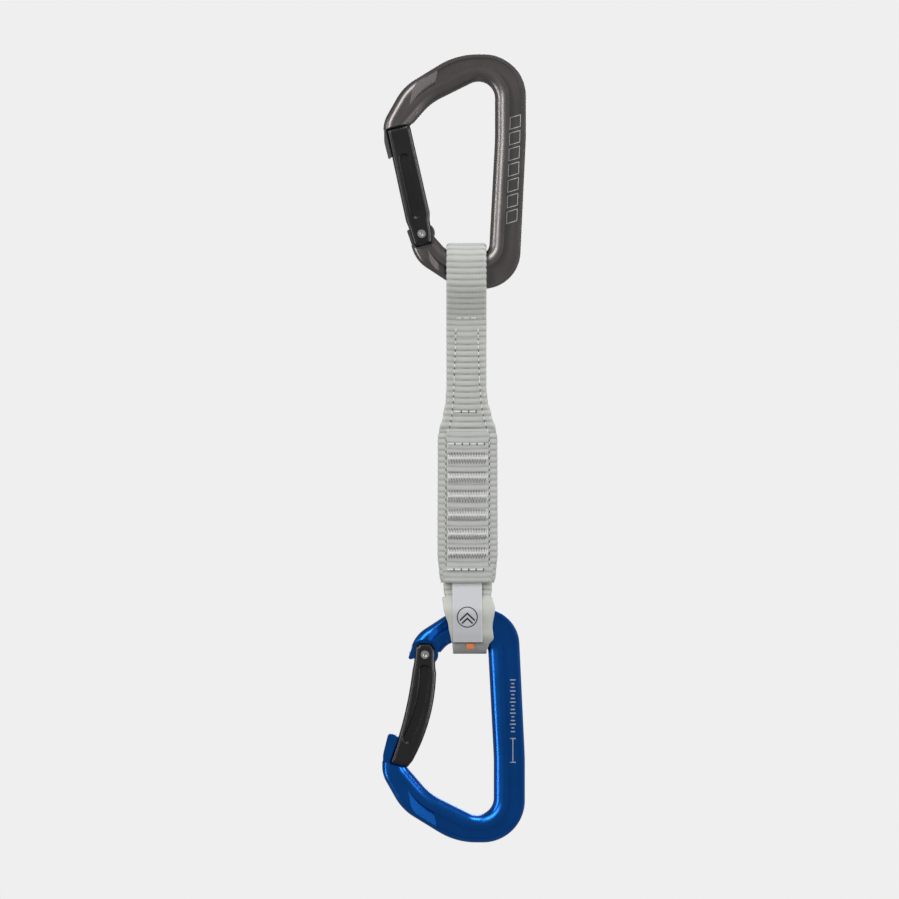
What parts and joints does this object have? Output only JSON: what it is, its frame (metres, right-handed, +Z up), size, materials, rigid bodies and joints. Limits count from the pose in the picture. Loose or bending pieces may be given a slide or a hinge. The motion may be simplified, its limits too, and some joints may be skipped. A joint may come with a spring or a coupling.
{
  "type": "climbing quickdraw",
  "caption": "Climbing quickdraw: a straight-gate and a bent-gate carabiner joined by a flat sewn webbing sling that widens into a grip.",
  "frame": {"origin": "inner apex of the upper carabiner's wide basket, where a bolt hanger carries it", "axes": "+Z up along the hanging quickdraw, +X towards the carabiners' spines, -Y the front face"},
  "size_m": [0.0604, 0.02, 0.3311],
  "materials": {
    "anodised_grey": "satin warm grey anodising on forged aluminium",
    "anodised_blue": "satin blue anodising on forged aluminium",
    "black_gate": "black anodised, semi-gloss",
    "rivet_steel": "bright stainless steel",
    "spring_steel": "stainless spring wire",
    "webbing": "ribbed pale grey-green polyamide webbing",
    "thread": "bonded pale polyester thread",
    "keeper_rubber": "matt pale rubber",
    "label_ribbon": "smooth woven satin ribbon",
    "marker_orange": "orange thread"
  },
  "bodies": {
    "top_carabiner": {"top_frame": "anodised_grey", "upper_eye_webbing": "webbing"},
    "top_gate_swing": {"top_gate": "black_gate", "top_rivet": "rivet_steel", "top_spring": "spring_steel"},
    "top_plunger_slide": {"top_plunger": "rivet_steel"},
    "neck_upper": {"neck_upper_webbing": "webbing", "upper_cross_stitch": "thread", "neck_upper_seams": "thread"},
    "neck_lower": {"neck_lower_webbing": "webbing", "neck_lower_seams": "thread", "neck_cross_stitch": "thread"},
    "grip": {"grip_sleeve": "webbing", "splice_tape": "webbing", "grip_hem": "webbing", "grip_seams": "thread", "bar_tacks": "thread", "splice_cross_stitch": "thread", "hem_stitch": "thread"},
    "bottom_carabiner": {"bottom_frame": "anodised_blue", "lower_eye_webbing": "webbing", "keeper": "keeper_rubber", "label": "label_ribbon", "wear_marker": "marker_orange"},
    "bottom_gate_swing": {"bottom_gate": "black_gate", "bottom_rivet": "rivet_steel", "bottom_spring": "spring_steel"},
    "bottom_plunger_slide": {"bottom_plunger": "rivet_steel"}
  },
  "joints": [
    {"name": "top_gate_hinge", "type": "hinge", "parent": "top_carabiner", "child": "top_gate_swing", "pos_m": [-0.0243, 0, -0.064], "axis": [0, 1, 0], "range_deg": [0, 28], "stiffness_Nm_per_rad": 0.05, "springref_deg": -17.19},
    {"name": "top_plunger_lift", "type": "slide", "parent": "top_gate_swing", "child": "top_plunger_slide", "axis": [-0.2113, 0, 0.9774], "range_m": [0, 0.0007], "deforming": ["top_spring"]},
    {"name": "upper_eye_bend", "type": "hinge", "parent": "top_carabiner", "child": "neck_upper", "pos_m": [-0.0055, 0, -0.097], "axis": [1, 0, 0], "range_deg": [-35, 35]},
    {"name": "neck_twist", "type": "hinge", "parent": "neck_upper", "child": "neck_lower", "pos_m": [-0.0055, 0, -0.118], "axis": [0, 0, 1], "range_deg": [-45, 45], "stiffness_Nm_per_rad": 0.01},
    {"name": "neck_bend", "type": "hinge", "parent": "neck_lower", "child": "grip", "pos_m": [-0.0055, 0, -0.1395], "axis": [1, 0, 0], "range_deg": [-30, 30]},
    {"name": "lower_eye_bend", "type": "hinge", "parent": "grip", "child": "bottom_carabiner", "pos_m": [-0.005, 0, -0.2123], "axis": [1, 0, 0], "range_deg": [-35, 35]},
    {"name": "bottom_gate_hinge", "type": "hinge", "parent": "bottom_carabiner", "child": "bottom_gate_swing", "pos_m": [-0.0229, 0, -0.2406], "axis": [0, -1, 0], "range_deg": [0, 25], "stiffness_Nm_per_rad": 0.05, "springref_deg": -17.19},
    {"name": "bottom_plunger_lift", "type": "slide", "parent": "bottom_gate_swing", "child": "bottom_plunger_slide", "axis": [-0.0628, 0, -0.998], "range_m": [0, 0.0007], "deforming": ["bottom_spring"]}
  ],
  "couplings": [
    {"joint": "top_plunger_lift", "follows": "top_gate_hinge", "m_per_rad": 0.0014},
    {"joint": "bottom_plunger_lift", "follows": "bottom_gate_hinge", "m_per_rad": 0.0014}
  ]
}
